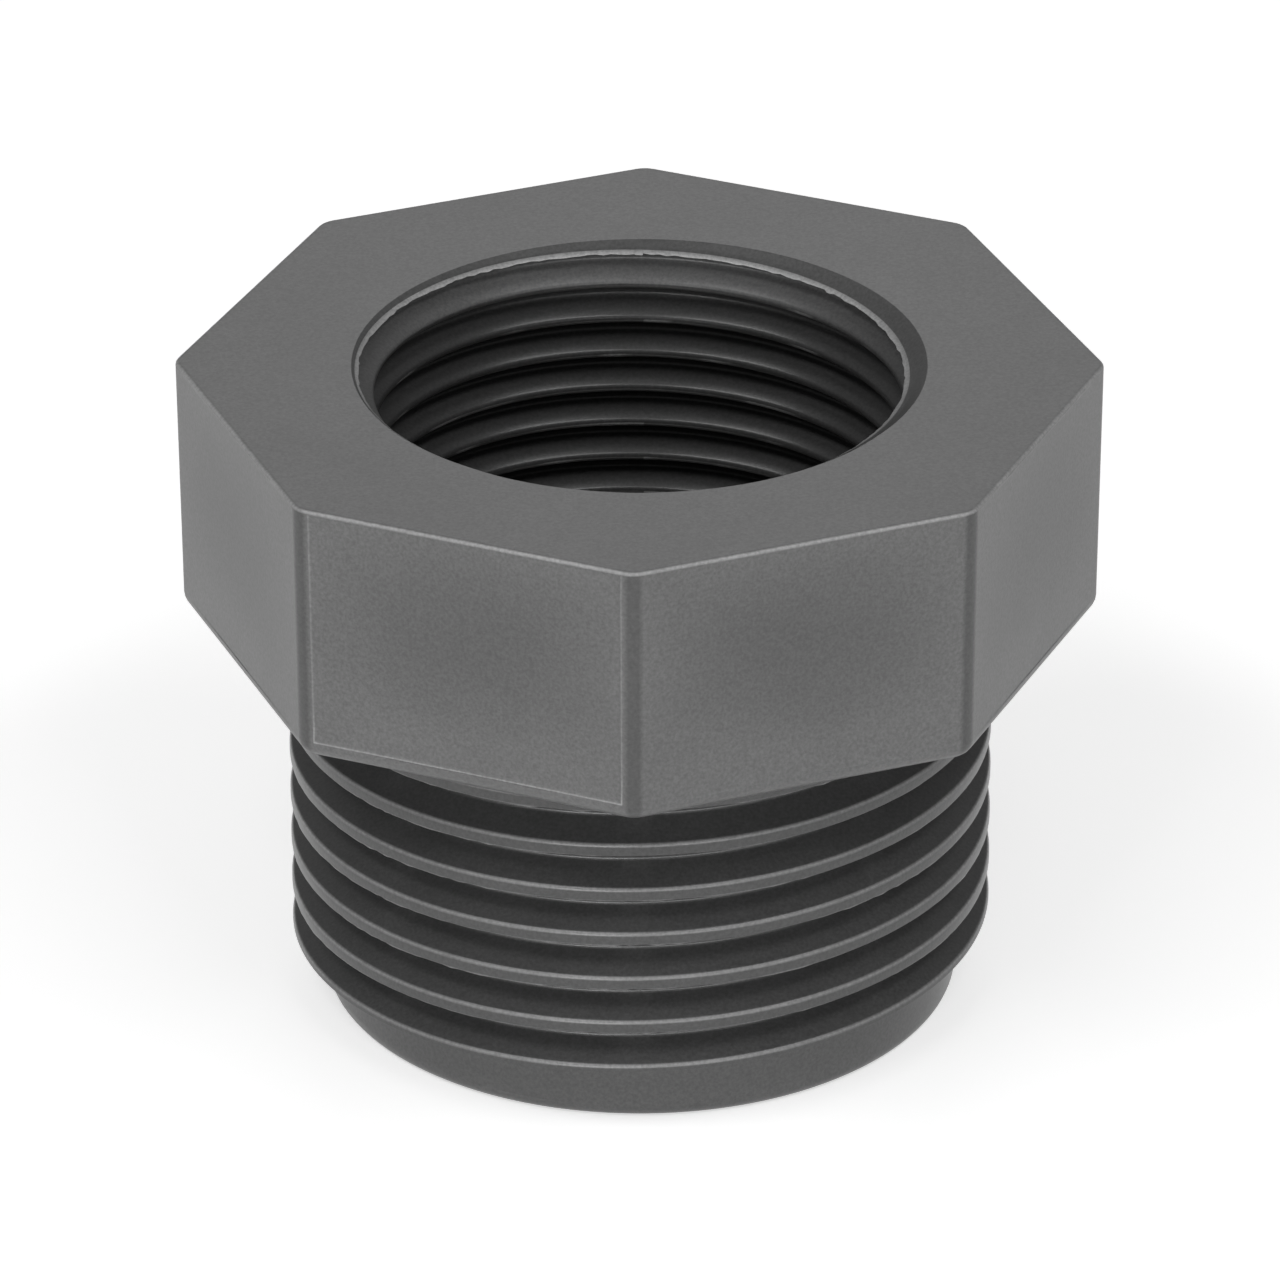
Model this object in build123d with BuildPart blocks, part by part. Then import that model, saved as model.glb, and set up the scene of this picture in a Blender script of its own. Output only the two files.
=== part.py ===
from build123d import *
from build123d.topology import SkipClean
from math import ceil, radians, tan
import os

os.makedirs("parts", exist_ok=True)

# Reducing bush, moulded in one piece: an octagonal head on a spigot with a male pipe thread, and a
# smaller threaded hole in the head, whose fine thread is left out of the solid. The origin is the
# centre of the spigot's lower end, and +Z runs up the axis to the head. The head's corners lie on
# the X and Y axes.

# Head
head_sides = 8
head_across_flats = 39.7
head_height = 12.7
head_draft = 0.6
head_corner_radius = 1.2
head_lower_bevel = 0.55

# Spigot, with a parallel pipe thread of nominal size 1
spigot_length = 18.9
spigot_end_bevel = 0.4
thread_diameter = 32.9
thread_pitch = 2.309
thread_angle = 55.0
thread_depth_per_pitch = 0.6403
pilot_front_height = 3.4

# Threaded hole in the head, at the crest diameter of a parallel pipe thread of nominal size 3/4
hole_diameter = 24.5
hole_depth = 17.0
mouth_bevel = 0.8

# Plain waterway below the threaded hole
waterway_diameter = 21.0

# Angles about the axis, counted from +X
back_angle = 90
front_angle = 270

# The rib is made in short stretches, and shorter ones where it has only half its crest
rib_pieces_per_turn = 5
shoulder_pieces_per_turn = 16

# Heights and radii that follow from the sizes above
total_height = spigot_length + head_height
thread_depth = thread_depth_per_pitch * thread_pitch
crest_radius = thread_diameter / 2
root_radius = crest_radius - thread_depth
hole_radius = hole_diameter / 2

# Section of the rib: a flat crest, and flanks that run on a little way into the spigot
flank_slope = tan(radians(thread_angle / 2))
crest_width = thread_pitch / 2 - thread_depth * flank_slope
rib_overlap = 0.1 * thread_pitch
rib_tip = crest_width / 2 - rib_overlap * flank_slope
rib_foot = crest_width / 2 + (thread_depth + rib_overlap) * flank_slope


def rib_stretch(pieces_per_turn, lower_half=True):
    """A stretch of the rib from the X axis on, with its middle at height 0 there.

    The crest is cut to a true cylinder. Without its lower half the rib has a level shoulder under the
    middle of its crest.
    """
    with BuildLine() as path:
        Helix(thread_pitch, thread_pitch / pieces_per_turn, root_radius)
    with BuildPart() as rib:
        with BuildSketch(Plane.XZ):
            with BuildLine():
                Polyline(
                    (root_radius - rib_overlap, -rib_foot if lower_half else 0),
                    (crest_radius + rib_overlap, -rib_tip if lower_half else 0),
                    (crest_radius + rib_overlap, rib_tip),
                    (root_radius - rib_overlap, rib_foot),
                    close=True,
                )
            make_face()
        sweep(path=path.line, is_frenet=True)
        Cylinder(crest_radius, 4 * thread_pitch, mode=Mode.INTERSECT)
    return rib.part


def climbing_places(start_height, pieces_per_turn, count):
    """Places for a row of stretches that starts at the back and climbs to the right."""
    rise = thread_pitch / pieces_per_turn
    turn = 360 / pieces_per_turn
    return [
        Location((0, 0, start_height + step * rise), (0, 0, back_angle + step * turn))
        for step in range(count)
    ]


# The first turn has the shoulder, above the plain pilot, and the full rib goes on until it is in the head
shoulder_start = pilot_front_height - thread_pitch * (front_angle - back_angle) / 360
full_start = shoulder_start + thread_pitch
full_turns = (spigot_length + thread_pitch / 2 - full_start) / thread_pitch
full_places = climbing_places(full_start, rib_pieces_per_turn, ceil(full_turns * rib_pieces_per_turn))
shoulder_places = climbing_places(shoulder_start, shoulder_pieces_per_turn, shoulder_pieces_per_turn)

with BuildPart() as bushing:
    # Head, narrower towards the spigot
    with BuildSketch(Plane.XY.offset(total_height)):
        RegularPolygon(head_across_flats / 2, head_sides, major_radius=False)
    extrude(amount=-head_height)
    draft(bushing.faces().filter_by(Plane.XY, reverse=True), Plane.XY.offset(total_height), -head_draft)
    chamfer(bushing.faces().sort_by(Axis.Z)[0].edges(), head_lower_bevel)
    fillet(bushing.edges().filter_by(lambda edge: abs(edge.tangent_at(0).Z) > 0.9), head_corner_radius)

    # Spigot at the root of its thread
    with BuildSketch(Plane.XY):
        Circle(root_radius)
    extrude(amount=spigot_length)
    chamfer(bushing.faces().sort_by(Axis.Z)[0].edges(), spigot_end_bevel)

    # Threaded hole with its mouth, and the waterway through its floor
    with Locations((0, 0, total_height)):
        CounterBoreHole(waterway_diameter / 2, hole_radius, hole_depth)
    mouth = bushing.faces().sort_by(Axis.Z)[-1].inner_wires()[0]
    chamfer(mouth.edges(), mouth_bevel)

    # The rib's stretches stay apart, so that each stretch of its crest is short
    with SkipClean():
        with Locations(*shoulder_places):
            add(rib_stretch(shoulder_pieces_per_turn, lower_half=False))
        with Locations(*full_places):
            add(rib_stretch(rib_pieces_per_turn))

bushing.part.label = "bushing"
export_step(bushing.part, "parts/bushing.step")
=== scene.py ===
import math

import bmesh
import bpy
import numpy as np
from mathutils import Matrix, Vector, noise


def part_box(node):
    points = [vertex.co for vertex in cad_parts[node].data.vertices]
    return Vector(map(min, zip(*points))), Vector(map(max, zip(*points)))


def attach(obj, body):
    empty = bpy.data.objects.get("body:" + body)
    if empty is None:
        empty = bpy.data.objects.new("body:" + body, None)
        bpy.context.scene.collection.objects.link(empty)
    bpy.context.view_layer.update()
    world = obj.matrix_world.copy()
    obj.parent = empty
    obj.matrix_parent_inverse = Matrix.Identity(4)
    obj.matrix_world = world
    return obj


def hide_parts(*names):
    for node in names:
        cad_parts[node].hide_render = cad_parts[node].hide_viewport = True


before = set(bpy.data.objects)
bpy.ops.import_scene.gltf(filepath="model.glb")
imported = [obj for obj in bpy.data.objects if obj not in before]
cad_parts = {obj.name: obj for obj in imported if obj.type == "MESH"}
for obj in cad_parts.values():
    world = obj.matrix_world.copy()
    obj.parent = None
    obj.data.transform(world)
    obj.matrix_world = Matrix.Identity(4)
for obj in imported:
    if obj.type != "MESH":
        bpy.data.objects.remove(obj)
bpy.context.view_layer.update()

mm = 0.001                                   # the dictionaries give millimetres and degrees, Blender metres
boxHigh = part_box("bushing")[1]
topHeight = boxHigh.z / mm
cornerReach = boxHigh.x / mm                 # from the axis to a rounded corner of the head
startAngle = 90.0                            # the mesh's first column, at the back
tiny = 1e-6                                  # lengths below this count as nothing
print("frame loaded, the bush is", round(topHeight, 2), "mm high")


# The head, an octagon with a corner on each end of the X and Y axes
head = {
    "sides": 8,
    "height": 12.7,
    "draft": 0.6,
    "cornerRadius": 1.2,
    "cornerFade": 0.5,                       # share of each half of a corner where its painted shade fades out
    "lowerRounding": 0.85,
    "topRounding": 0.17,
    "edgeHighlight": 0.85,                        # painted highlight along the top edge
    "sink": 0.06,                            # how far the middle of each side has shrunk in
    "sinkFall": 0.6,                         # how much of that is lost at the side's upper and lower ends
    "sinkShade": 0.65,                       # painted shade: where it has shrunk in, the side is painted darker
    "shadeFall": 1.3,
    "shadeMiddle": 0.15,                     # a little above the side's middle, on a scale from -1 to 1
    "wave": 0.012,                           # soft unevenness of the moulded sides
    "waveLength": 4.0,
    "linedSide": 3,                          # the mould insert of this side stood out and left a fine lip
    "lineInset": 0.03,
    "lineWidth": 0.26,                       # the lip, and the step down from it to the side's panel
    "lipHeight": 0.025,
    "lipPeak": 0.25,                         # where the lip is highest, as a share of the line's width
    "panelDrop": 0.03,
    "panelFall": 0.5,                        # the step down takes this share of the line's width
    # painted highlight along the lip, stronger along its foot
    "lipHighlight": 0.3,
    "lowLipHighlight": 0.75,
    "lowLipUpTo": -0.9,                      # on the same scale
    "lineSteps": 4,
    "cornerSteps": 8,
    "flatSteps": 24,
    "sideSteps": 8,
    "roundingSteps": 6,
    "topRoundingSteps": 4,
    "underRim": 0.3,                         # rows near the edges, which keep the flat faces flat
    "topRim": 0.12,
    "topInset": 1.0,
    "topRings": (16.5, 14.6),
}

# Places in Blender's noise that are far enough apart to look unlike one another
noisePlace = {
    "nextFlash": 3.3,
    "fineFlash": 7.1,
    "toothPatch": 3.7,
    "tooth": 5.2,
    "nextTornGlint": 9.1,
}


def noiseAt(x, y=0.0, z=0.0):
    return noise.noise(Vector((x, y, z)))


def within(value, low=0.0, high=1.0):
    return min(high, max(low, value))


underZ = topHeight - head["height"]
halfSide = math.radians(180 / head["sides"])             # half the angle that a side spans about the axis
topApothem = (cornerReach - head["cornerRadius"]) * math.cos(halfSide) + head["cornerRadius"]
centreApothem = topApothem - head["cornerRadius"]
straight = centreApothem * math.tan(halfSide)            # half the straight length of a side
lineShares = [step / head["lineSteps"] for step in range(head["lineSteps"] + 1)]
lineMarks = [head["lineInset"] + head["lineWidth"] * share for share in lineShares]


# A column is one upright cut through the whole wall: its side, the angle that this side faces, the share of
# the way from the side's middle to its end, and the turn from there around the corner's arc.
def makeColumns():
    ends = [-1] + [mark / straight - 1 for mark in lineMarks]
    middle = np.linspace(ends[-1], -ends[-1], head["flatSteps"] + 1)[1:-1]
    along = ends + list(middle) + [-share for share in reversed(ends)]
    steps = head["cornerSteps"] // 2
    columns = []
    for side in range(head["sides"]):
        face = math.radians(startAngle) + (2 * side + 1) * halfSide
        places = [(-1, -halfSide * (1 - step / steps)) for step in range(steps)]
        places += [(share, 0) for share in along]
        places += [(1, halfSide * (step + 1) / steps) for step in range(steps)]
        columns += [(side, face, share, turn) for share, turn in places[:-1]]
    columns.append((side, face, *places[-1]))            # the last column stands where the first one does
    return columns


columns = makeColumns()
columnSide, faceAngles, columnShare, columnTurn = [np.array(values) for values in zip(*columns)]
normalAngles = faceAngles + columnTurn
widen = math.tan(halfSide) * columnShare
centreX = np.cos(faceAngles) - widen * np.sin(faceAngles)
centreY = np.sin(faceAngles) + widen * np.cos(faceAngles)
normalX, normalY = np.cos(normalAngles), np.sin(normalAngles)
outlineX = centreApothem * centreX + head["cornerRadius"] * normalX
outlineY = centreApothem * centreY + head["cornerRadius"] * normalY
columnAngles = np.degrees(np.unwrap(np.arctan2(outlineY, outlineX)))
columnAngles += startAngle - columnAngles[0]
turnPart = (columnAngles - startAngle) / 360
columnCount = len(columns)
# Painted shade on the head's rounded corners, which fades out towards the flat sides
cornerPaint = np.clip(np.abs(columnTurn) / halfSide / head["cornerFade"], 0, 1)
print("columns", columnCount)

rows = []                                    # each row is x, y, z, wear and painted highlight, painted shade, and cored finish with painted shade, for all columns
seamShift = []                               # how many rows further a thread goes on where the mesh closes


def addRow(x, y, z, wear=0.0, shift=0, corner=0.0, cored=0.0):
    full = np.ones(columnCount)
    rows.append((x * full, y * full, z * full, wear * full, corner * full, cored * full))
    seamShift.append(shift)


def addRing(radius, z, wear=0.0, shift=0, cored=0.0):
    turn = np.radians(columnAngles)
    addRow(radius * np.cos(turn), radius * np.sin(turn), z, wear, shift, cored=cored)


# Outline of the head at a height, moved in by an inset and out by a relief
def addOutline(inset, z, relief=0.0, wear=0.0, painted=1.0, hollowShade=0.0):
    drawnIn = (topHeight - z) * math.tan(math.radians(head["draft"]))
    apothem = centreApothem - drawnIn
    radius = head["cornerRadius"] - inset + relief
    # Painted shade: the rounded corners and the sunk middles of the sides are painted darker
    darker = np.maximum(cornerPaint * painted, hollowShade)
    x, y = apothem * centreX + radius * normalX, apothem * centreY + radius * normalY
    addRow(x, y, z, wear, corner=darker)


# What the values come to, column by column, where the levels first pass a limit
def atLimit(levels, limit, values):
    each = np.arange(columnCount)
    before = np.argmax(levels > limit, axis=0) - 1
    share = (limit - levels[before, each]) / (levels[before + 1, each] - levels[before, each])
    return values[before, each] + share * (values[before + 1, each] - values[before, each])


# The spigot, with the larger pipe thread
spigot = {
    "pilotRadius": 14.9,
    "endRounding": 0.65,
    "endSteps": 6,
    "crestRadius": 16.45,
    "pitch": 2.309,
    "depthPerPitch": 0.6403,
    "angle": 55.0,
    "crestWidth": 0.56,
    "upperEdgeRounding": 0.24,
    "upperEdgeSteps": 4,
    "lowerEdgeRounding": 0.06,
    "lowerEdgeSteps": 2,
    "rootRounding": 0.16,
    "rootSteps": 2,
    "edgeHighlight": 0.6,                         # painted highlight on a crest's rounded upper edge
    "crestCoredShade": 0.96,                      # how far a crest has the threads' smoother finish and their painted shade
    # the pilot has part of the threads' smoother finish and painted shade
    "pilotCoredShade": 0.7,
    "finishAndShadeFade": 0.05,                      # how far down the flank the crest's finish and painted shade fade out
    "flash": 0.07,                           # how far down a crest's ragged lower edge hangs
    "flashLength": 0.5,
    "flashContrast": 1.2,
    # the hanging flash is painted pale, partly as whitened plastic and partly as a painted glint
    "flashWearAndGlint": 0.5,
    "patchLength": 6.0,                      # the flash comes in patches about this long
    "patchContrast": 2.0,
    "frontShoulder": 3.4,                    # height of the shoulder under the rib, at the front
    "frontAngle": 270.0,
}

maleDepth = spigot["depthPerPitch"] * spigot["pitch"]
maleRoot = spigot["crestRadius"] - maleDepth


# End face and rounded end of the spigot
def addSpigotEnd():
    rounding, steps = spigot["endRounding"], spigot["endSteps"]
    addRing(hole["waterwayRadius"] + hole["endBevel"], 0)
    addRing(spigot["pilotRadius"] - rounding, 0)
    for step in range(1, steps + 1):
        turn = math.radians(90 * step / steps)
        radius = spigot["pilotRadius"] - rounding * (1 - math.sin(turn))
        addRing(radius, rounding * (1 - math.cos(turn)), cored=spigot["pilotCoredShade"])


# Rounds the corner between an upright line and a flank, outward at a crest (1) or inward at a root (-1):
# heights and radii, from the upright line on
def roundedCorner(height, radius, rounding, steps, outward):
    turn = math.radians(90 - spigot["angle"] / 2)
    start = height - rounding * math.tan(turn / 2)
    points = []
    for step in range(steps + 1):
        part = turn * step / steps
        inward = outward * rounding * (1 - math.cos(part))
        points.append((start + rounding * math.sin(part), radius - inward))
    return points


# Section of the male rib from one crest's middle up to the next: heights, radii, and finish with painted
# shade
def maleSection():
    slope = math.tan(math.radians(spigot["angle"] / 2))
    pitch, crestRadius = spigot["pitch"], spigot["crestRadius"]
    halfCrest = spigot["crestWidth"] / 2
    halfRoot = pitch / 2 - halfCrest - maleDepth * slope
    upper = roundedCorner(halfCrest, crestRadius, spigot["upperEdgeRounding"], spigot["upperEdgeSteps"], 1)
    lower = roundedCorner(halfCrest, crestRadius, spigot["lowerEdgeRounding"], spigot["lowerEdgeSteps"], 1)
    foot = roundedCorner(halfRoot, maleRoot, spigot["rootRounding"], spigot["rootSteps"], -1)
    crest, cored, fade = spigot["crestCoredShade"], 1.0, spigot["finishAndShadeFade"]
    points = [(0.0, crestRadius, crest)]
    points += [(height, radius, crest) for height, radius in upper]
    points.append((upper[-1][0] + fade * slope, upper[-1][1] - fade, cored))
    points += [(pitch / 2 - height, radius, cored) for height, radius in reversed(foot)]
    points += [(pitch / 2 + height, radius, cored) for height, radius in foot]
    points.append((pitch - lower[-1][0] - fade * slope, lower[-1][1] - fade, cored))
    points += [(pitch - height, radius, crest) for height, radius in reversed(lower)]
    return points


# Above its rounded end, the pilot widens a little towards the root of the thread
def pilotRadiusAt(z):
    foot = spigot["pilotRadius"]
    widened = foot + (maleRoot - foot) * np.clip(z / spigot["frontShoulder"], 0, 1)
    return np.where(z < spigot["endRounding"], foot, widened)


# How far the flash on each crest's lower edge hangs down, turn by turn and column by column
def raggedEdges(turns):
    ragged = np.zeros((turns, columnCount))
    for turn in range(turns):
        place = noisePlace["nextFlash"] * turn
        for column, around in enumerate(turnPart * 2 * math.pi * spigot["crestRadius"]):
            patch = noiseAt(around / spigot["patchLength"], place)
            fine = noiseAt(around / spigot["flashLength"], place, noisePlace["fineFlash"])
            inPatch = within(0.5 + spigot["patchContrast"] * patch)
            ragged[turn, column] = inPatch * within(0.5 + spigot["flashContrast"] * fine)
    ragged[:, [0, -1]] = 0                   # the mesh closes here
    return ragged


# Pilot and male thread, up to the head's underside. Two turns of rows lie on the pilot, below the shoulder.
# Each turn has its crest's middle twice, and between the two of the rib's first turn the shoulder is level.
def addMaleThread():
    section = maleSection()
    turnPoints = [section[0]] + section
    shoulder = spigot["frontShoulder"] + spigot["pitch"] * (columnAngles - spigot["frontAngle"]) / 360
    lastTurn = math.ceil((underZ - shoulder[0]) / spigot["pitch"])
    upperEdge = 2 + spigot["upperEdgeSteps"] // 2        # the point half way around the upper rounding
    ragged = raggedEdges(lastTurn + 1)
    heights, radii, wearsAndHighlights, finishesAndShades = [], [], [], []
    for turn in range(-2, lastTurn + 1):
        for index, (height, radius, finishAndShade) in enumerate(turnPoints):
            z = shoulder + spigot["pitch"] * turn + height
            wear = 0.0
            if turn < 0 or (turn == 0 and index == 0):
                radius = pilotRadiusAt(z)
                finishAndShade = spigot["pilotCoredShade"]
            elif height < spigot["pitch"] / 2:
                # painted highlight half way around a crest's rounded upper edge
                wear = spigot["edgeHighlight"] * max(0.0, 1 - abs(index - upperEdge) / 2)
            elif finishAndShade < 1 and index < len(section):
                hanging = ragged[turn] * (underZ - z > spigot["upperEdgeRounding"])
                z = z - spigot["flash"] * hanging
                wear = spigot["flashWearAndGlint"] * hanging
            heights.append(np.maximum(z, spigot["endRounding"]))
            radii.append(radius * np.ones(columnCount))
            wearsAndHighlights.append(wear)
            finishesAndShades.append(finishAndShade)
    heights, radii = np.array(heights), np.array(radii)
    above = np.maximum.accumulate(heights > underZ, axis=0)
    radii = np.where(above, atLimit(heights, underZ, radii), radii)
    heights = np.minimum(heights, underZ)
    for z, radius, wear, finishAndShade in zip(heights, radii, wearsAndHighlights, finishesAndShades):
        addRing(radius, z, wear, len(turnPoints), finishAndShade)


# The head's sides: sinks with painted shade, soft unevenness, and one side's lip along its ends and foot,
# with painted highlight
def addSides(foot, top):
    heights = [foot + mark for mark in lineMarks]
    heights += list(np.linspace(heights[-1], top - lineMarks[-1], head["sideSteps"] + 1)[1:-1])
    heights += [top - mark for mark in reversed(lineMarks)]
    lined = (columnSide == head["linedSide"]) & (columnTurn == 0)
    across = 1 - columnShare ** 2
    for z in heights:
        up = 2 * (z - foot) / (top - foot) - 1           # from -1 at a side's foot to 1 at its top
        hollow = head["sink"] * across * (1 - head["sinkFall"] * up ** 2)
        places = np.stack([outlineX, outlineY, np.full(columnCount, z)], 1) / head["waveLength"]
        uneven = np.array([noiseAt(*place) for place in places])
        fade = across * (1 - up ** 2)
        inward = np.minimum((1 - np.abs(columnShare)) * straight, z - foot) - head["lineInset"]
        inward = inward / head["lineWidth"]
        lip = np.where(lined, np.clip(1 - np.abs(inward / head["lipPeak"] - 1), 0, 1), 0)
        panel = np.where(lined, np.clip((inward - head["lipPeak"]) / head["panelFall"], 0, 1), 0)
        relief = head["lipHeight"] * lip - head["panelDrop"] * panel - hollow
        relief = relief + head["wave"] * uneven * fade
        # painted highlight along the lip, stronger along its foot
        wear = lip * (head["lowLipHighlight"] if up < head["lowLipUpTo"] else head["lipHighlight"])
        # painted shade in the side's sunk middle, strongest a little above its middle
        shadeShare = max(0.0, 1 - head["shadeFall"] * (up - head["shadeMiddle"]) ** 2)
        addOutline(0, z, relief, wear, hollowShade=head["sinkShade"] * across * shadeShare)


# The head: underside, rounded lower edge, sides, top edge and top face
def addHead():
    lower, upper, steps = head["lowerRounding"], head["topRounding"], head["roundingSteps"]
    addOutline(lower + head["underRim"], underZ)
    for step in range(steps + 1):
        turn = math.radians(90 * step / steps)
        addOutline(lower * (1 - math.sin(turn)), underZ + lower * (1 - math.cos(turn)))
    addSides(underZ + lower, topHeight - upper)
    steps = head["topRoundingSteps"]
    for step in range(steps + 1):
        turn = math.radians(90 * step / steps)
        inset, drop = upper * (1 - math.cos(turn)), upper * (1 - math.sin(turn))
        # painted highlight along the top edge
        wear = head["edgeHighlight"] * math.sin(2 * turn)
        addOutline(inset, topHeight - drop, wear=wear, painted=1 - step / steps)
    addOutline(upper + head["topRim"], topHeight, painted=0)
    addOutline(head["topInset"], topHeight, painted=0)
    for radius in head["topRings"]:
        addRing(radius, topHeight)


# The hole through the head, with the smaller pipe thread
hole = {
    "crestRadius": 12.25,
    "rootRadius": 13.41,
    "pitch": 1.814,
    "flatPerPitch": 1 / 6,
    "edgeRounding": 0.09,
    "depth": 17.0,
    "crestDepth": 1.87,                      # from the top face to a crest's middle, at the start angle
    "mouthRadius": 13.27,
    "mouthDepth": 0.75,                      # how far down the mouth's cone reaches
    "mouthRim": 0.04,                        # a row around the mouth, on the top face
    "waterwayRadius": 10.5,
    "floorBevel": 0.15,
    "endBevel": 0.2,
    # painted shade on the mouth's cone, which also gets part of the threads' smoother finish
    "mouthCoredShade": 0.7,
    "coredShadeFrom": 1.6,                        # from this depth on, the core left a smoother surface, and the hole is painted darker as painted shade
    "coredShadeFade": 0.8,
    "tornGlintLength": 2.5,                       # the crests' lower edges are painted pale in places, partly as torn plastic and partly as painted glints
    "tornGlintContrast": 4.0,
    "tornGlintLeast": 0.8,
    "tornGlintRows": 2,
}

# The ragged burr on the lower edge of the mouth's cone, where the cone cuts the smaller thread
burr = {
    "fullWidth": 0.15,                       # where the cone's strip is narrower, the burr is smaller
    "rowShares": (0.03, 0.2, 0.5),           # rows across the strip, and one more at the curl's foot
    "curl": 0.09,                            # the last stretch of the cone, which curls up into the burr
    "curlShare": 0.3,                        # it takes no more than this share of the strip
    "curlFoot": 0.03,
    "curlLift": 0.015,
    # the burr's curl and tip are painted pale, partly as torn plastic and partly as a painted highlight
    "curlWearAndHighlight": 0.6,
    "reach": 0.13,                           # from the edge into the hole
    "drop": 0.06,                            # from the edge down
    "edgeLift": 0.01,
    "edgeReach": 0.5,                        # shares of the reach and the drop, above and below the tip
    "underReach": 0.2,
    "underDrop": 0.5,
    "toothLength": 0.4,
    "teethPerPatch": 6,
    "toothMiddle": 0.75,                     # a tooth's size
    "patchContrast": 0.3,                    # how much patches of teeth differ, and single teeth
    "toothContrast": 0.9,
    "toothLeast": 0.3,
    "fade": 1.0,                             # painted shadow: the groove is painted dark below the burr, and lighter this far down
}


# Section of the female thread from one crest's middle down to the next: depths and radii
def femaleSection():
    flat = hole["flatPerPitch"] * hole["pitch"]
    flank = hole["pitch"] / 2 - flat
    rise = hole["rootRadius"] - hole["crestRadius"]
    slant = math.hypot(flank, rise)
    stepDown, stepOut = hole["edgeRounding"] * flank / slant, hole["edgeRounding"] * rise / slant
    half = [
        (flat / 2 - hole["edgeRounding"], hole["crestRadius"]),
        (flat / 2 + stepDown, hole["crestRadius"] + stepOut),
        (flat / 2 + flank / 2, hole["crestRadius"] + rise / 2),
        (flat / 2 + flank - stepDown, hole["rootRadius"] - stepOut),
        (flat / 2 + flank + hole["edgeRounding"], hole["rootRadius"]),
    ]
    return half + [(hole["pitch"] - depth, radius) for depth, radius in reversed(half)]


# Depths and radii of the threaded wall without its mouth, from a crest above the top face down
def threadedWall():
    crestMiddle = hole["crestDepth"] - hole["pitch"] * turnPart
    depths, radii = [], []
    for turn in range(firstCrest, lastCrest + 1):
        for depth, radius in femaleTurn:
            depths.append(crestMiddle + hole["pitch"] * turn + depth)
            radii.append(np.full(columnCount, radius))
    return np.array(depths), np.array(radii)


# The mouth's cone, which ends at the crest radius
def coneRadiusAt(depth):
    slope = (hole["mouthRadius"] - hole["crestRadius"]) / hole["mouthDepth"]
    return np.maximum(hole["mouthRadius"] - slope * depth, hole["crestRadius"])


femaleTurn = [(0.0, hole["crestRadius"])] + femaleSection()
perTurn = len(femaleTurn)
firstCrest = -1
lastCrest = math.ceil((hole["depth"] - hole["crestDepth"]) / hole["pitch"]) + 2
wallDepths, wallRadii = threadedWall()
mouthOutline = np.maximum(atLimit(wallDepths, 0.0, wallRadii), coneRadiusAt(0.0))
floorOutline = atLimit(wallDepths, hole["depth"], wallRadii)
shownFrom, coneFrom = 0.003, 0.01            # the least depths of the wall's points and of a strip's ends
halvings = 20
shown = (wallDepths > shownFrom) & (wallRadii >= coneRadiusAt(wallDepths) - tiny)


# Depth at which the flank comes out of the cone, between a hidden point of the wall and a shown one
def coneEdge(column, hidden, visible):
    depthA, depthB = wallDepths[hidden, column], wallDepths[visible, column]
    radiusA, radiusB = wallRadii[hidden, column], wallRadii[visible, column]
    low, high = 0.0, 1.0
    for halving in range(halvings):
        share = (low + high) / 2
        depth = depthA + share * (depthB - depthA)
        if depth > 0 and radiusA + share * (radiusB - radiusA) > coneRadiusAt(depth):
            high = share
        else:
            low = share
    return depth


# Where the cone leaves the groove above a crest's middle, and where it meets the groove below it
def coneStrip(column, middle):
    top = (0.0, mouthOutline[column])
    if shown[middle, column]:
        point = (wallDepths[middle, column], wallRadii[middle, column])
        return point, point
    found = []
    for direction in (-1, 1):
        index = middle
        while abs(index - middle) < perTurn and 0 <= index < len(wallDepths) and not shown[index, column]:
            index += direction
        if abs(index - middle) == perTurn or index < 0:
            if direction > 0:
                return top, top              # this crest and the groove under it are above the top face
            found.append(top)
            continue
        depth = coneEdge(column, index - direction, index)
        found.append((depth, float(coneRadiusAt(depth))) if depth > coneFrom else top)
    return found[0], found[1]


def toothSize(column):
    place = turnPart[column] * 2 * math.pi * hole["crestRadius"] / burr["toothLength"]
    patch = noiseAt(place / burr["teethPerPatch"], 0.0, noisePlace["toothPatch"])
    tooth = noiseAt(place, noisePlace["tooth"])
    size = burr["toothMiddle"] + burr["patchContrast"] * patch + burr["toothContrast"] * tooth
    return within(size, burr["toothLeast"])


# Depth, radius, and pale wear with painted highlight, of a strip's points: down the cone, around the burr
# and back to the groove's wall
def burredStrip(column, start, end):
    width = end[0] - start[0]
    strength = min(1.0, width / burr["fullWidth"])
    size = strength * toothSize(column)
    curl = 1 - min(burr["curl"], burr["curlShare"] * width) / width if width > tiny else 1.0
    reach, drop = burr["reach"] * size, burr["drop"] * size
    points = [(start[0], start[1], 0.0)]
    for share in (*burr["rowShares"], curl - burr["curlFoot"], curl):
        depth = start[0] + min(share, curl) * width
        radius = float(coneRadiusAt(depth)) if width > tiny else start[1]
        points.append((depth, radius, 0.0))
    points[-1] = (depth - burr["curlLift"] * size, radius, burr["curlWearAndHighlight"] * strength)
    points.append((end[0] - burr["edgeLift"] * size, end[1] - burr["edgeReach"] * reach, strength))
    points.append((end[0] + drop, end[1] - reach, strength))
    points.append((end[0] + burr["underDrop"] * drop, end[1] - burr["underReach"] * reach, 0.0))
    points.append((end[0], end[1], 0.0))
    return points


stripRows = len(burr["rowShares"]) + 7       # the points of such a strip
grooveRows = 2                               # the last of them, which have the groove's finish and painted shade
seamRows = -(stripRows + perTurn - 1)        # one turn of the thread, counted in rows from the top down


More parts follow.
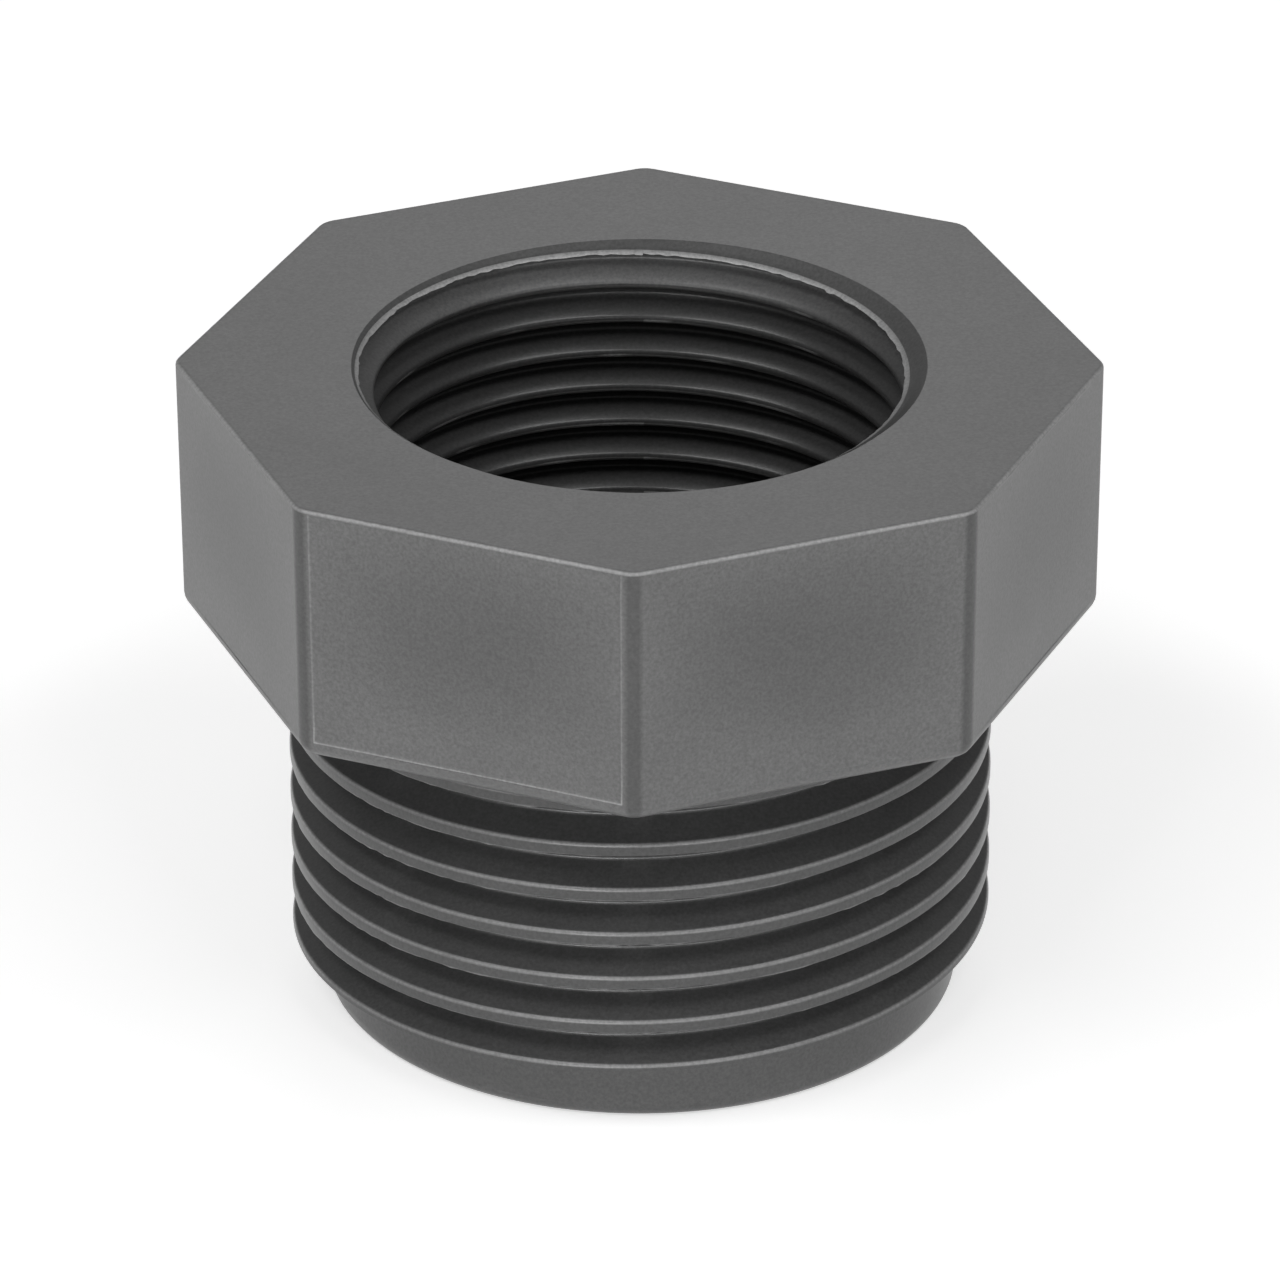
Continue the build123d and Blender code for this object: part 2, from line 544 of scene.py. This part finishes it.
# The rows at one crest: the strip of cone that shows there, or else the crest's middle, where they all meet
def addStrip(turn, middle):
    strip = np.zeros((stripRows, 3, columnCount))
    for column in range(columnCount):
        point = (wallDepths[middle, column], wallRadii[middle, column])
        start, end = coneStrip(column, middle) if turn <= 0 else (point, point)
        strip[:, :, column] = burredStrip(column, start, end)
    strip[:, 0] = np.minimum(strip[:, 0], hole["depth"])
    for index, (depth, radius, wear) in enumerate(strip):
        # painted shade: the cone and the groove are painted darker, and the hole more so further down
        least = hole["mouthCoredShade"] if index < stripRows - grooveRows else 1.0
        cored = np.clip((depth - hole["coredShadeFrom"]) / hole["coredShadeFade"], least, 1)
        radius = np.where(depth >= hole["depth"], floorOutline, radius)
        addRing(radius, topHeight - depth, wear, seamRows, cored)
    return strip[-1, 0], strip[-1, 1]


# Where a crest's lower edge in the hole is painted pale, partly as torn plastic and partly as painted
# glint, column by column
def tornGlintEdge(turn):
    places = turnPart * 2 * math.pi * hole["crestRadius"] / hole["tornGlintLength"]
    tornGlint = [noiseAt(place, noisePlace["nextTornGlint"] * turn) for place in places]
    return np.array([within(hole["tornGlintContrast"] * value - hole["tornGlintLeast"]) for value in tornGlint])


# The rows of the groove from one crest's strip, which ends at an edge, to the next. A point that the cone
# hides is moved to that edge, to the cone or to the start of the next strip.
def addGroove(turn, middle, edgeDepth, edgeRadius):
    nextMiddle = middle + perTurn
    tornGlint = tornGlintEdge(turn) if turn > 0 else 0.0
    for row in range(middle + 1, nextMiddle):
        depth, radius = wallDepths[row].copy(), wallRadii[row].copy()
        shownAbove = shown[middle + 1:row].any(axis=0)
        shownBelow = shown[row:nextMiddle + 1].any(axis=0)
        leading = ~shown[row] & ~shownAbove & shownBelow
        between = ~shown[row] & shownAbove & shownBelow
        depth[leading], radius[leading] = edgeDepth[leading], edgeRadius[leading]
        radius[between] = coneRadiusAt(depth[between])
        if turn < 0:
            for column in np.nonzero(~shown[row] & ~shownBelow)[0]:
                depth[column], radius[column] = coneStrip(column, nextMiddle)[0]
        radius = np.where(depth > hole["depth"], floorOutline, radius)
        # painted shade: the hole is painted darker further down
        cored = np.clip((depth - hole["coredShadeFrom"]) / hole["coredShadeFade"], 0, 1)
        # painted shadow: below the burr the groove is painted dark, fading lighter further down
        if turn <= 0:
            cored = np.maximum(cored, 1 - np.abs(depth - edgeDepth) / burr["fade"])
        # painted pale along torn edges, partly as torn plastic and partly as painted glints
        wear = tornGlint * (depth < hole["depth"]) if row <= middle + hole["tornGlintRows"] else 0.0
        addRing(radius, topHeight - np.minimum(depth, hole["depth"]), wear, seamRows, cored)


def addWaterway():
    floorZ = topHeight - hole["depth"]
    addRing(hole["waterwayRadius"] + hole["floorBevel"], floorZ, cored=1.0)
    for z in (floorZ - hole["floorBevel"], floorZ / 2, hole["endBevel"]):
        addRing(hole["waterwayRadius"], z, cored=1.0)


# The rows run up the outside, from the spigot's end on, over the top face and down the hole
addSpigotEnd()
addMaleThread()
addHead()
print("spigot and head have", len(rows), "rows")
addRing(mouthOutline + hole["mouthRim"], topHeight)
for turn in range(firstCrest, lastCrest + 1):
    middle = (turn - firstCrest) * perTurn
    edgeDepth, edgeRadius = addStrip(turn, middle)
    addGroove(turn, middle, edgeDepth, edgeRadius)
addWaterway()
print("with the hole there are", len(rows), "rows")


# How the rows are joined, and where the skin is shaded sharp
skin = {
    "mergeDistance": 0.0004,
    "sharpAngle": 38.0,                      # edges with a larger angle between their faces stay sharp
}


# One face between neighbouring columns and rows. Where the last column meets the first, a threaded row goes
# on as the row one turn further along its thread.
def skinFaces():
    partner = list(range(len(rows)))
    for upward in (1, -1):                   # the male thread's rows run up, and the female thread's down
        threaded = [row for row, shift in enumerate(seamShift) if shift * upward > 0]
        for row in threaded:
            partner[row] = within(row + seamShift[row], threaded[0], threaded[-1])
    faces = []
    for row in range(len(rows)):
        following = (row + 1) % len(rows)
        for column in range(columnCount - 1):
            near, far = row * columnCount + column, following * columnCount + column
            faces.append((near, near + 1, far + 1, far))
        near, far = (row + 1) * columnCount - 1, (following + 1) * columnCount - 1
        faces.append((near, partner[row] * columnCount, partner[following] * columnCount, far))
    return faces


# Joins the rows into one closed skin, in which rows and columns that lie on one another are merged
def makeSkin(name):
    grid = np.array(rows)
    points = grid[:, :3].transpose(0, 2, 1).reshape(-1, 3) * mm
    mesh = bpy.data.meshes.new(name)
    mesh.from_pydata(points, [], skinFaces())
    for index, label in enumerate(("wear", "corner", "cored"), 3):
        layer = mesh.attributes.new(label, "FLOAT", "POINT")
        layer.data.foreach_set("value", grid[:, index].reshape(-1).astype(np.float32))
    work = bmesh.new()
    work.from_mesh(mesh)
    bmesh.ops.remove_doubles(work, verts=work.verts, dist=skin["mergeDistance"] * mm)
    bmesh.ops.dissolve_degenerate(work, edges=work.edges, dist=skin["mergeDistance"] * mm)
    bmesh.ops.recalc_face_normals(work, faces=work.faces)
    if work.calc_volume(signed=True) < 0:
        bmesh.ops.reverse_faces(work, faces=work.faces)
    openEdges = sum(1 for edge in work.edges if len(edge.link_faces) != 2)
    volume = work.calc_volume() / mm ** 3 / 1000
    triangles = sum(len(face.verts) - 2 for face in work.faces)
    print("skin:", triangles, "triangles,", openEdges, "open edges,", round(volume, 3), "cubic centimetres")
    work.to_mesh(mesh)
    work.free()
    mesh.shade_smooth()
    mesh.set_sharp_from_angle(angle=math.radians(skin["sharpAngle"]))
    piece = bpy.data.objects.new(name, mesh)
    bpy.context.scene.collection.objects.link(piece)
    even = piece.modifiers.new("evenNormals", "WEIGHTED_NORMAL")
    even.mode = "FACE_AREA"
    even.keep_sharp = True
    return piece


bush = makeSkin("reducingBush")


def hexToLinear(text):
    channels = [int(text[i:i + 2], 16) / 255 for i in (1, 3, 5)]
    return [c / 12.92 if c <= 0.04045 else ((c + 0.055) / 1.055) ** 2.4 for c in channels] + [1.0]


# Adds a node, sets its sockets and properties, and links what is given as (node, output name)
def addNode(tree, kind, settings=None, **properties):
    node = tree.nodes.new(kind)
    for key, value in properties.items():
        setattr(node, key, value)
    for key, value in (settings or {}).items():
        if isinstance(value, tuple) and isinstance(value[0], bpy.types.Node):
            tree.links.new(value[0].outputs[value[1]], node.inputs[key])
        else:
            node.inputs[key].default_value = value
    return node


def newMaterial(name):
    material = bpy.data.materials.new(name)
    material.use_nodes = True
    material.node_tree.nodes.clear()
    return material, material.node_tree


# PVC-U, injection moulded. The head comes from a spark-eroded cavity: a dense dark grey with a fine, dull
# grain. The threads come from polished cores and look smoother; painted shade darkens them, the hole, the
# head's corners and the sunk middles of its sides, and pale wear carries painted highlights and glints.
pvc = {
    "grey": "#5c5c5c",
    "paintedShadeGrey": "#444444",                 # painted shade on the head's rounded corners and the sunk middles of its sides
    # painted shade on the threads and in the hole
    "coredShadeGrey": "#424242",
    # pale wear, and painted highlights and glints on edges
    "wearAndHighlightGrey": "#9a9a9a",
    "ior": 1.53,
    "roughness": 0.4,
    "coredRoughness": 0.3,
    "grain": 0.16,                           # real grain is about 0.05 mm, drawn coarser so that it shows
    "grainDepth": 0.006,
    "grainStrength": 0.8,
    "grainShare": 0.20,
    "cloud": 5.0,
    "cloudShare": 0.05,
}


def mouldedPvc():
    material, tree = newMaterial("mouldedPvc")
    place = addNode(tree, "ShaderNodeTexCoord")
    cloud = addNode(tree, "ShaderNodeTexNoise", {
        "Vector": (place, "Object"), "Scale": 1 / (pvc["cloud"] * mm), "Detail": 3.0, "Roughness": 0.6,
    })
    grain = addNode(tree, "ShaderNodeTexNoise", {
        "Vector": (place, "Object"), "Scale": 1 / (pvc["grain"] * mm), "Detail": 2.0, "Roughness": 0.6,
    })
    cloudy, grainy = [
        addNode(tree, "ShaderNodeMapRange", {
            "Value": (pattern, "Fac"), "From Min": 0.3, "From Max": 0.7,
            "To Min": 1 - share, "To Max": 1 + share,
        })
        for pattern, share in ((cloud, pvc["cloudShare"]), (grain, pvc["grainShare"]))
    ]
    shade = addNode(tree, "ShaderNodeMath", {
        0: (cloudy, "Result"), 1: (grainy, "Result"),
    }, operation="MULTIPLY")
    colour = hexToLinear(pvc["grey"])
    # painted shade, the threads' painted shade, and pale wear with painted highlights and glints
    for name, covering in (("corner", "paintedShadeGrey"), ("cored", "coredShadeGrey"), ("wear", "wearAndHighlightGrey")):
        mask = addNode(tree, "ShaderNodeAttribute", attribute_name=name)
        mixed = addNode(tree, "ShaderNodeMix", {
            0: (mask, "Fac"), 6: colour, 7: hexToLinear(pvc[covering]),
        }, data_type="RGBA")                 # a Mix node's colours are its inputs 6 and 7 and its output 2
        colour = (mixed, 2)
    shaded = addNode(tree, "ShaderNodeVectorMath", {0: colour, 1: (shade, "Value")}, operation="MULTIPLY")
    cored = addNode(tree, "ShaderNodeAttribute", attribute_name="cored")
    gloss = addNode(tree, "ShaderNodeMapRange", {
        "Value": (cored, "Fac"), "To Min": pvc["roughness"], "To Max": pvc["coredRoughness"],
    })
    bump = addNode(tree, "ShaderNodeBump", {
        "Height": (grain, "Fac"), "Strength": pvc["grainStrength"], "Distance": pvc["grainDepth"] * mm,
    })
    surface = addNode(tree, "ShaderNodeBsdfPrincipled", {
        "Base Color": (shaded, "Vector"), "Roughness": (gloss, "Result"),
        "IOR": pvc["ior"], "Normal": (bump, "Normal"),
    })
    addNode(tree, "ShaderNodeOutputMaterial", {"Surface": (surface, "BSDF")})
    return material


bush.data.materials.append(mouldedPvc())
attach(bush, "root")
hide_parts("bushing")
print("bush made")


# The photograph's camera, worked out from the head's corners and the threads
camera = {
    "lens": 288.78,                          # for a sensor 36 mm wide
    "distance": 473.1,                       # from the middle of the head's top face
    "elevation": 25.92,
    "azimuth": -89.21,                       # about the axis, counted from +X
    "pitch": 27.47,
    "roll": -0.13,
}


def towards(azimuth, elevation):
    side, high = math.radians(azimuth), math.radians(elevation)
    return Vector((math.cos(high) * math.cos(side), math.cos(high) * math.sin(side), math.sin(high)))


def makeCamera():
    data = bpy.data.cameras.new("camera")
    data.lens = camera["lens"]
    data.clip_start, data.clip_end = 0.01, 20
    holder = bpy.data.objects.new("camera", data)
    bpy.context.scene.collection.objects.link(holder)
    away = towards(camera["azimuth"], camera["elevation"])
    holder.location = Vector((0, 0, topHeight * mm)) + away * camera["distance"] * mm
    look = -towards(camera["azimuth"], camera["pitch"])
    turned = look.to_track_quat("-Z", "Y").to_matrix().to_4x4()
    holder.rotation_euler = (turned @ Matrix.Rotation(math.radians(camera["roll"]), 4, "Z")).to_euler()
    bpy.context.scene.camera = holder


# A plain pale floor, which looks white but for the bush's own shadow
stage = {
    "floorSize": 1600.0,
    "floor": "#ececec",
    "lift": 0.52,                            # light added to the floor as the camera and reflections see it
    "dim": 0.18,                             # the studio around, as the bush's surfaces are lit by it
    "lightDistance": 800.0,
}


# 1 for what the camera sees, straight or through glass, and as a rule in reflections, and 0 for other light
def seenRay(tree, reflections=True):
    path = addNode(tree, "ShaderNodeLightPath")
    seen = addNode(tree, "ShaderNodeMath", {
        0: (path, "Is Camera Ray"), 1: (path, "Is Transmission Ray"),
    }, operation="MAXIMUM")
    if not reflections:
        return seen
    return addNode(tree, "ShaderNodeMath", {
        0: (seen, "Value"), 1: (path, "Is Glossy Ray"),
    }, operation="MAXIMUM")


def paleFloor():
    material, tree = newMaterial("paleFloor")
    matt = addNode(tree, "ShaderNodeBsdfDiffuse", {"Color": hexToLinear(stage["floor"])})
    share = addNode(tree, "ShaderNodeMath", {
        0: (seenRay(tree), "Value"), 1: stage["lift"],
    }, operation="MULTIPLY")
    lift = addNode(tree, "ShaderNodeEmission", {"Color": (1, 1, 1, 1), "Strength": (share, "Value")})
    both = addNode(tree, "ShaderNodeAddShader", {0: (matt, "BSDF"), 1: (lift, "Emission")})
    addNode(tree, "ShaderNodeOutputMaterial", {"Surface": (both, "Shader")})
    return material


def makeFloor():
    half = stage["floorSize"] * mm / 2
    corners = [(-half, -half, 0), (half, -half, 0), (half, half, 0), (-half, half, 0)]
    mesh = bpy.data.meshes.new("floor")
    mesh.from_pydata(corners, [], [(0, 1, 2, 3)])
    floor = bpy.data.objects.new("floor", mesh)
    bpy.context.scene.collection.objects.link(floor)
    mesh.materials.append(paleFloor())


# Soft lights: direction from the bush, width and height, and brightness, where 1 looks white
softboxes = [
    {"name": "behind", "azimuth": 90, "elevation": 30, "size": (350, 350), "brightness": 1.3},
    {"name": "lowLeft", "azimuth": 230, "elevation": 6, "size": (350, 130), "brightness": 4.0},
    {"name": "lowMiddle", "azimuth": 255, "elevation": 6, "size": (350, 130), "brightness": 13.0},
    {"name": "lowFront", "azimuth": 285, "elevation": 6, "size": (350, 130), "brightness": 7.0},
    {"name": "lowRight", "azimuth": 310, "elevation": 6, "size": (350, 130), "brightness": 3.5},
    {"name": "highLeft", "azimuth": 226, "elevation": 55, "size": (600, 160), "brightness": 6.0},
    {"name": "highRight", "azimuth": 316, "elevation": 55, "size": (600, 160), "brightness": 5.0},
]


def makeSoftbox(box):
    data = bpy.data.lights.new(box["name"], "AREA")
    data.shape = "RECTANGLE"
    data.size, data.size_y = box["size"][0] * mm, box["size"][1] * mm
    data.energy = box["brightness"] * math.pi * data.size * data.size_y
    lamp = bpy.data.objects.new(box["name"], data)
    bpy.context.scene.collection.objects.link(lamp)
    away = towards(box["azimuth"], box["elevation"])
    lamp.location = Vector((0, 0, topHeight * mm / 2)) + away * stage["lightDistance"] * mm
    lamp.rotation_euler = away.to_track_quat("Z", "Y").to_euler()
    lamp.visible_camera = False


def makeWorld():
    world = bpy.data.worlds.new("studio")
    world.use_nodes = True
    tree = world.node_tree
    tree.nodes.clear()
    strength = addNode(tree, "ShaderNodeMapRange", {
        "Value": (seenRay(tree, False), "Value"), "To Min": stage["dim"], "To Max": 1.0,
    })
    light = addNode(tree, "ShaderNodeBackground", {
        "Color": (1, 1, 1, 1), "Strength": (strength, "Result"),
    })
    addNode(tree, "ShaderNodeOutputWorld", {"Surface": (light, "Background")})
    bpy.context.scene.world = world


makeCamera()
makeFloor()
for box in softboxes:
    makeSoftbox(box)
makeWorld()
bpy.context.scene.view_settings.view_transform = "Standard"
print("stage made")
